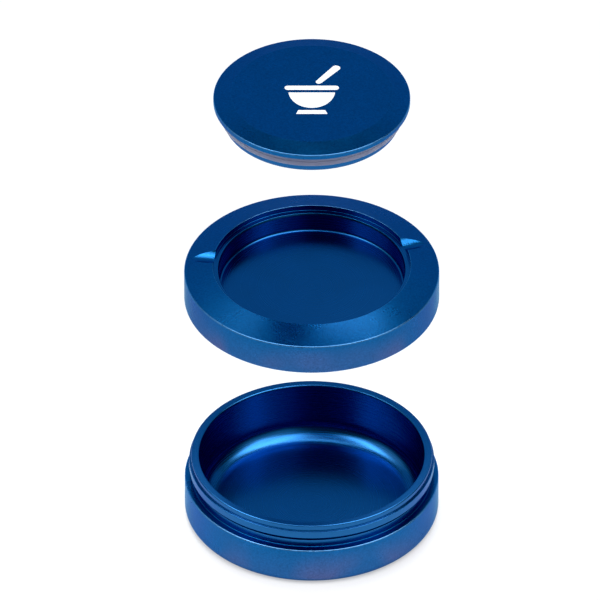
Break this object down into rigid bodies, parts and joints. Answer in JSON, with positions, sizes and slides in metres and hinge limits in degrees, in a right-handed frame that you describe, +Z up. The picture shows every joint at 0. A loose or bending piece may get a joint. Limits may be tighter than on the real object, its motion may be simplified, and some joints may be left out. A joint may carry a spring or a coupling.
{
  "type": "pill crusher",
  "caption": "Turned aluminium tin: a low jar, a tray that caps it, and a plug lid with a silicone seal, shown lifted apart on one axis.",
  "frame": {"origin": "centre of the jar's flat base, on the common axis of all pieces", "axes": "+Z up along the common axis, from the jar to the lid; -Y faces the front, from which the two notches lie to the left and to the right rear"},
  "size_m": [0.08, 0.08, 0.1623],
  "materials": {
    "anodised_aluminium": "bead-blasted and anodised deep blue, satin",
    "silicone": "moulded translucent silicone, pale grey, satin"
  },
  "bodies": {
    "jar": {"jar": "anodised_aluminium"},
    "tray_seal": {"tray_seal": "silicone"},
    "tray": {"tray": "anodised_aluminium"},
    "lid_seal": {"lid_seal": "silicone"},
    "lid": {"lid": "anodised_aluminium"}
  },
  "joints": [
    {"name": "tray_lift", "type": "slide", "parent": "jar", "child": "tray_seal", "axis": [0, 0, 1], "range_m": [-0.0697, 0]},
    {"name": "tray_turn", "type": "hinge", "parent": "tray_seal", "child": "tray", "pos_m": [0, 0, 0.0874], "axis": [0, 0, 1], "continuous": true},
    {"name": "lid_lift", "type": "slide", "parent": "tray", "child": "lid_seal", "axis": [0, 0, 1], "range_m": [-0.0652, 0]},
    {"name": "lid_turn", "type": "hinge", "parent": "lid_seal", "child": "lid", "pos_m": [0, 0, 0.1609], "axis": [0, 0, 1], "continuous": true}
  ]
}
